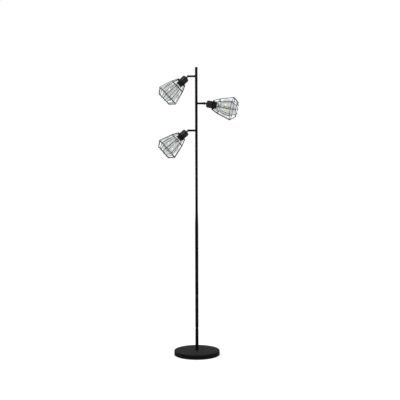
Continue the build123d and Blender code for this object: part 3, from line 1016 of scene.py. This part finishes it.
    def show(
        self, shape: Shape, label: str, finish: Finish | ClearGlass, node: str = "",
        lay: Matrix | None = None, body: str = "head", smooth: float = SHADE_ANGLE,
    ) -> None:
        """Lays a shape in its place and keeps it as a piece of the head.

        Args:
            shape: The shape, along or about Z.
            label: Name of the piece, without the head's.
            finish: Its finish.
            node: Node that it is shown in place of, without the head's name.
            lay: Transform to its place, if that isn't along the head from the tilt pin.
            body: The body that it moves with, without the head's name.
            smooth: Greatest angle in degrees that is shaded smooth.
        """
        nodes = (self.node(node),) if node else ()
        shape.placed(self.head_lay if lay is None else lay)
        self.keep(shape, self.node(label), finish, self.node(body), *nodes, smooth=smooth)

    def build(self) -> None:
        """Builds the head from the knuckle to the bulb."""
        self.fork()
        self.hinge_screw()
        self.tongue()
        self.cap()
        self.holder()
        self.shade_ring()
        self.collar()
        self.bars()
        self.rings()
        self.welds()
        self.bulb()
        self.stem()
        self.filaments()

    def fork(self) -> None:
        """Barrel that turns on the arm, its spigot, and two rounded ears."""
        radius, edge, body = self.barrel_radius, self.barrel_edge, "swivel"
        root = self.pin_reach - radius - self.barrel_clear
        outline = sleeve(0.0, radius, self.barrel_at, root, (edge, edge))
        barrel = Shape().lathe(outline, Detail.ROUND)
        self.show(barrel, "fork_barrel", POWDER_COAT, "fork", self.arm_lay, body)
        spigot = Shape().lathe(self.spigot, Detail.SMALL)
        self.show(spigot, "fork_spigot", BLACK_SCREW, "", self.arm_lay, body)
        length = root - self.pin_reach - self.ear_overlap
        outline = arc(radius, -pi / 2.0, pi / 2.0, 24) + [(length, radius), (length, -radius)]
        ears = {"near": (-self.ear_outer, -self.ear_inner), "far": (self.ear_inner, self.ear_outer)}
        for label, (low, high) in ears.items():
            ear = Shape().prism(outline, low, high).bevelled(self.ear_edge, 50.0)
            self.show(ear, f"fork_ear_{label}", POWDER_COAT, "", self.ear_lay, body)

    def hinge_screw(self) -> None:
        """Screw with a domed head, and its hexagon nut."""
        face, body = self.ear_outer + self.screw_gap, "swivel"
        outline = shifted(self.screw_dome, 0.0, -face) + shifted(self.screw_shank, 0.0, face)
        screw = Shape().lathe(outline, Detail.SMALL)
        self.show(screw, "hinge_screw_turned", BLACK_SCREW, "hinge_screw", self.ear_lay, body)
        hexagon = arc(self.nut_half / cos(pi / 6.0), 0.0, TURN, 6)[:-1]
        nut = Shape().prism(hexagon, face, face + self.nut_high).bevelled(self.small_edge, 40.0)
        self.show(nut, "hinge_nut", BLACK_SCREW, "", self.ear_lay, body)

    def tongue(self) -> None:
        """Flat tongue with a round eye, on a round foot."""
        radius, neck = self.barrel_radius, self.neck_half
        start, end = asin(neck / radius), self.cap_back - self.neck_overlap
        outline = arc(radius, start, TURN - start, 32) + [(end, -neck), (end, neck)]
        plate = Shape().prism(outline, -self.tongue_half, self.tongue_half)
        plate.bevelled(self.small_edge, 50.0)
        self.show(plate, "tongue_plate", POWDER_COAT, "tongue", self.eye_lay)
        foot = Shape().lathe(shifted(self.tongue_foot, 0.0, self.cap_back), Detail.SMALL)
        self.show(foot, "tongue_foot", POWDER_COAT)
        self.carry(ZINC, self.node("tongue_nut"))

    def cap(self) -> None:
        """Crowned cap with a soft shoulder and a small step at its open rim."""
        back, outer, wall, hole = self.cap_back, self.cap_radius, self.cap_wall, self.cap_hole
        inner, flat, (foot, lift) = outer - wall, self.crown_flat, self.crown_foot
        outline = [(hole, back), (flat, back)]
        for angle in sweep(0.0, pi / 2.0, self.crown_steps):
            rise = back + lift + self.crown_rise * (1.0 - cos(angle))
            outline.append((foot + (outer - foot) * sin(angle), rise))
        outline += shifted(self.cap_rim, outer, self.cap_front)
        outline += [(inner, self.cap_front), *shifted(self.cap_inside, inner, back)]
        outline += [(flat, back + wall), (hole, back + wall), (hole, back)]
        made = Shape().lathe(outline, Detail.ROUND)
        self.show(made, "socket_cap_drawn", CAP_COAT, "socket_cap")

    def holder(self) -> None:
        """Lampholder: flange, skirt with its outer thread, and the bore."""
        back, seat, edge = self.cap_front, self.collar_at, self.small_edge
        flange = self.flange_radius
        skirt, front, bore = self.skirt_radius, self.skirt_front, self.bore_radius
        outline = [(0.0, back), (flange - edge, back), (flange, back + edge), (flange, seat)]
        outline += [(skirt - self.skirt_neck, seat)]
        start = self.ring_at + self.skirt_neck
        outline += thread(self.skirt_thread, skirt, start, self.skirt_pitch, self.skirt_turns)
        outline += shifted(self.skirt_rim, skirt, front)
        outline += [(bore + self.bore_edge, front), (bore, front - self.bore_edge)]
        outline += [(bore, self.bore_at), (0.0, self.bore_at)]
        made = Shape().lathe(outline, Detail.ROUND)
        self.show(made, "lamp_holder_moulded", BLACK_MOULDING, "lamp_holder")
        self.carry(CONTACT_BRASS, self.node("centre_contact"))

    def shade_ring(self) -> None:
        """Ring nut with grips round its rim."""
        corners = []
        for angle in sweep(0.0, TURN, self.grips * self.grip_steps)[:-1]:
            radius = self.ring_radius - self.grip_depth * max(0.0, cos(self.grips * angle)) ** 3
            corners.append((radius * cos(angle), radius * sin(angle)))
        shape = Shape().prism(corners, self.ring_at, self.ring_at + self.ring_thick)
        width = self.ring_radius - self.skirt_radius - self.ring_play
        bmesh.ops.inset_region(shape.mesh, faces=shape.flats(), thickness=width, depth=0.0)
        caps = [face for face in shape.flats() if len(face.verts) == len(corners)]
        rims = [edge for face in caps for edge in face.edges]
        bmesh.ops.delete(shape.mesh, geom=caps, context="FACES_ONLY")
        bmesh.ops.bridge_loops(shape.mesh, edges=rims)
        made = shape.righted()
        self.show(made, "shade_ring_moulded", BLACK_MOULDING, "shade_ring", smooth=40.0)

    def collar(self) -> None:
        """Ten-sided plate with a round hole and eased edges."""
        outline = []
        for side in range(self.cage_sides):
            here, there = (
                self.at_corner(Vector((self.collar_radius, 0.0)), side + k).xy for k in (0, 1)
            )
            outline.append(here * self.collar_ease)
            outline += [here.lerp(there, share) for share in self.collar_shares]
        ends = (self.collar_at, self.collar_at + self.collar_thick)
        shape = Shape().prism(outline, *ends)
        bmesh.ops.delete(shape.mesh, geom=shape.flats(), context="FACES_ONLY")
        rims = set()
        for height in ends:
            turn = Matrix.Rotation(radians(self.mount.cage_turn), 4, "Z")
            hole = bmesh.ops.create_circle(
                shape.mesh,
                cap_ends=False,
                radius=self.skirt_radius + self.collar_play,
                segments=len(outline),
                matrix=Matrix.Translation((0.0, 0.0, height)) @ turn,
            )
            rim = {edge for vert in hole["verts"] for edge in vert.link_edges}
            outside = {
                edge
                for edge in shape.mesh.edges
                if edge.is_boundary
                and edge not in rim
                and all(abs(vert.co.z - height) < 1e-3 for vert in edge.verts)
            }
            bmesh.ops.bridge_loops(shape.mesh, edges=list(rim | outside))
            rims |= rim
        bmesh.ops.bridge_loops(shape.mesh, edges=list(rims))
        made = shape.righted().bevelled(self.collar_edge, 60.0)
        self.show(made, "cage_collar_pressed", POWDER_COAT, "cage_collar", smooth=40.0)

    def bar_line(self) -> list[Vector]:
        """Middle line of a bar.

        Returns:
            Its corners, as radius and distance from the pin.
        """
        slope = Vector((self.mid[0] - self.foot_radius, self.mid[1] - self.ring_at)).normalized()
        foot = Vector((self.foot_radius, self.ring_at + self.weld_gap + self.wire / 2.0 * slope.x))
        return [foot, Vector(self.mid), Vector(self.wide), Vector(self.mouth)]

    def ring_line(self) -> list[Vector]:
        """Places of the three cross rings, just inside the bars' bends.

        Returns:
            Their middles, as radius and distance from the pin.
        """
        foot, mid, wide, mouth = self.bar_line()
        apart = self.wire + self.weld_gap
        places = []
        for before, corner, after in ((foot, mid, wide), (mid, wide, mouth)):
            back, on = (before - corner).normalized(), (after - corner).normalized()
            half = acos(back.dot(on)) / 2.0
            places.append(corner + (back + on).normalized() * (apart / sin(half)))
        run = (mouth - wide).normalized()
        places.append(mouth + Vector((-run.y, run.x)) * apart - run * (self.wire / 2.0))
        return places

    def at_corner(self, place: Vector, corner: int) -> Vector:
        """The place of a cage point at one of the cage's corners, before it is laid."""
        turn = radians(self.mount.cage_turn) + corner * TURN / self.cage_sides
        return Vector((place.x * cos(turn), place.x * sin(turn), place.y))

    def round_cage(self, place: Vector) -> list[Vector]:
        """The places of a cage point at all of the cage's corners."""
        return [self.at_corner(place, corner) for corner in range(self.cage_sides)]

    def bars(self) -> None:
        """Ten bent bars, one round wire each."""
        shape = Shape()
        for path in zip(*map(self.round_cage, self.bar_line())):
            shape.add(Shape().wire(path, self.wire, self.bar_bend))
        self.show(shape, "cage_bars_bent", POWDER_COAT, "cage_bars", smooth=50.0)

    def rings(self) -> None:
        """Three ten-sided rings of the same wire."""
        shape = Shape()
        for place in self.ring_line():
            path = self.round_cage(place)
            shape.add(Shape().wire(path, self.wire, self.ring_bend, closed=True))
        self.show(shape, "cage_rings_bent", POWDER_COAT, "cage_rings", smooth=50.0)

    def welds(self) -> None:
        """Small welds between each ring and bar, and at the bars' feet."""
        shape = Shape()
        for place, bar in zip(self.ring_line(), self.bar_line()[1:]):
            shape.balls(self.round_cage((place + bar) / 2.0), self.weld_ball)
        seat = Vector((self.foot_radius, self.ring_at + self.foot_seat))
        shape.balls(self.round_cage(seat), self.foot_ball)
        self.show(shape, "cage_welds", POWDER_COAT, smooth=80.0)

    def bulb(self) -> None:
        """Screw cap with its thread, and the clear envelope with its inner wall."""
        outer, glass, pitch = self.bulb_cap_radius, self.glass_at, self.screw_pitch
        root, start = outer - self.screw_depth, self.bulb_foot + self.screw_at
        wave = [
            (self.screw_depth * (0.5 - 0.5 * cos(angle)), pitch * angle / TURN)
            for angle in sweep(0.0, TURN, self.screw_steps)[:-1]
        ]
        outline = shifted(self.contact, 0.0, self.bulb_foot)
        outline += thread(wave, root, start, pitch, self.screw_turns)
        end = start + pitch * self.screw_turns
        outline += [(root, end), *shifted(self.screw_end_step, outer, end)]
        outline += [(outer, glass - self.bulb_cap_lip), (outer, glass), (0.0, glass)]
        made = Shape().lathe(outline, Detail.ROUND)
        self.show(made, "bulb_cap_rolled", PLATED_CAP, "bulb_cap")
        shell = self.envelope(0.0) + self.envelope(self.glass_wall)[::-1]
        made = Shape().lathe(shell + shell[:1], Detail.FINE)
        self.show(made, "bulb_glass_blown", BULB_GLASS, "bulb_glass")

    def envelope(self, inset: float) -> Points:
        """Outline of the bulb from neck to tip.

        Args:
            inset: How far it is drawn in.

        Returns:
            Points as radius and distance from the pin.
        """
        ball, neck = self.ball_radius - inset, self.neck_radius - inset
        centre, shoulder = self.ball_at, self.neck_end
        lean = asin(ball / hypot(neck, centre - shoulder))
        start = pi / 2.0 + atan2(neck, centre - shoulder) - lean
        first, bend = Vector((neck, shoulder - self.neck_bend)), Vector((neck, shoulder))
        touch = Vector((ball * sin(start), centre - ball * cos(start)))
        target = bend.lerp(touch, self.neck_share)
        points = [(neck, self.glass_at)]
        for step in range(self.neck_steps):
            share = step / self.neck_steps
            one, two = first.lerp(bend, share), bend.lerp(target, share)
            points.append(tuple(one.lerp(two, share)))
        for turn in sweep(start, pi, self.ball_steps):
            points.append((max(0.0, ball * sin(turn)), centre - ball * cos(turn)))
        return points

    def stem(self) -> None:
        """Flared glass stem with its pinched top."""
        outline = shifted(self.stem_flare, 0.0, self.glass_at)
        outline += shifted(self.stem_pinch, 0.0, self.stem_top)
        made = Shape().lathe(outline, Detail.SMALL)
        self.show(made, "bulb_stem_drawn", STEM_GLASS, "bulb_stem")

    def filaments(self) -> None:
        """Upright coated filaments, and the wires that carry their ends."""
        low, top = self.filament_low, self.filament_low + self.filament_long
        rods, supports = Shape(), Shape()
        spots = arc(self.filament_ring, 0.0, TURN, self.filament_count)[:-1]
        outline = sleeve(0.0, self.filament_radius, low, top, self.filament_ease)
        for x, y in spots:
            rods.add(Shape().lathe(outline, Detail.WIRE).placed(Matrix.Translation((x, y, 0.0))))
        self.show(rods, "filament_rods", FILAMENT_COAT, "filaments")
        for height in (low - self.support_gap, top + self.support_gap):
            for x, y in spots:
                path = (Vector((0.0, 0.0, height)), Vector((x, y, height)))
                supports.add(Shape().wire(path, self.support_wire))
        self.show(supports, "filament_supports", ZINC)


# ---- studio


@dataclass(frozen=True)
class Softbox:
    """Square area lamp that looks at the middle of the object. Metres and watts."""

    name: str
    place: Triple
    size: float
    power: float
    target: Triple = (0.0, 0.0, 0.9)

    def build(self) -> None:
        """Adds the lamp to the scene."""
        data = bpy.data.lights.new(self.name, "AREA")
        data.shape = "SQUARE"
        data.size = self.size
        data.energy = self.power
        aim = (Vector(self.target) - Vector(self.place)).to_track_quat("-Z", "Y")
        lay = Matrix.Translation(self.place) @ aim.to_matrix().to_4x4()
        put(self.name, data).matrix_world = lay


@dataclass
class Studio:
    """Floor, backdrop light, lamps and the camera. Sizes in metres."""

    camera_at: Triple = (0.0190, -4.0, 0.968)
    pitch_down: float = 1.49
    roll: float = -0.15
    lens: float = 64.7
    sensor: float = 36.0
    sight: float = 200.0
    floor_size: float = 60.0
    floor_drop: float = 0.0004
    floor_grey: float = 0.86
    floor_glow: float = 0.40
    daylight: float = 0.73
    backdrop: float = 1.0
    lamps: tuple[Softbox, ...] = (
        Softbox("key_light", (-1.7, -2.6, 3.7), 1.6, 45.0),
        Softbox("fill_light", (2.6, -2.2, 2.2), 2.4, 20.0),
    )

    def build(self) -> None:
        """Builds the whole studio."""
        self.camera()
        self.floor()
        self.world()
        for lamp in self.lamps:
            lamp.build()

    def camera(self) -> None:
        """Camera at the photograph's viewing angle."""
        data = bpy.data.cameras.new("camera")
        data.lens = self.lens
        data.sensor_width = self.sensor
        data.clip_end = self.sight
        made = put("camera", data)
        aim = Matrix.Rotation(radians(90.0 - self.pitch_down), 4, "X")
        roll = Matrix.Rotation(radians(self.roll), 4, "Z")
        made.matrix_world = Matrix.Translation(self.camera_at) @ aim @ roll
        bpy.context.scene.camera = made

    def floor(self) -> None:
        """Plain pale floor that keeps the object's shadow."""
        mesh = bmesh.new()
        bmesh.ops.create_grid(mesh, x_segments=1, y_segments=1, size=self.floor_size)
        data = bpy.data.meshes.new("floor")
        mesh.to_mesh(data)
        mesh.free()
        made = put("floor", data)
        made.location = (0.0, 0.0, -self.floor_drop)
        data.materials.append(self.floor_material())

    def floor_material(self) -> bpy.types.Material:
        """Pale floor, lifted to white for the camera and for what mirrors it.

        Returns:
            The material.
        """
        made, nodes = new_material("pale_floor")
        grey = (self.floor_grey, self.floor_grey, self.floor_grey, 1.0)
        surface = nodes.add("BsdfDiffuse", {"Color": grey}).outputs["BSDF"]
        level = nodes.maths("MULTIPLY", nodes.seen(), self.floor_glow)
        glow = nodes.add("Emission", {"Strength": level}).outputs["Emission"]
        both = nodes.add("AddShader", {0: surface, 1: glow})
        nodes.add("OutputMaterial", {"Surface": both.outputs["Shader"]})
        return made

    def world(self) -> None:
        """Even studio light, and white for what the camera sees straight or through glass."""
        world = bpy.data.worlds.new("studio")
        bpy.context.scene.world = world
        world.use_nodes = True
        nodes = Nodes(world.node_tree)
        inputs = {"Value": nodes.seen(), "To Min": self.daylight, "To Max": self.backdrop}
        level = nodes.add("MapRange", inputs).outputs["Result"]
        shine = nodes.add("Background", {"Color": (1.0, 1.0, 1.0, 1.0), "Strength": level})
        nodes.add("OutputWorld", {"Surface": shine.outputs["Background"]})


def set_view() -> None:
    """Standard view transform, with nothing else changed."""
    bpy.context.scene.view_settings.view_transform = "Standard"


def main() -> None:
    """Builds the studio, the stand and the heads, and reports each piece."""
    logging.basicConfig(level=logging.INFO, format="%(message)s")
    set_view()
    Studio().build()
    finishes = Finishes()
    stand = Stand(finishes, MOUNTS)
    stand.build()
    stand.report("stand")
    for mount in MOUNTS:
        head = Head(finishes, mount)
        head.build()
        head.report(mount.name)


if __name__ == "__main__":
    main()
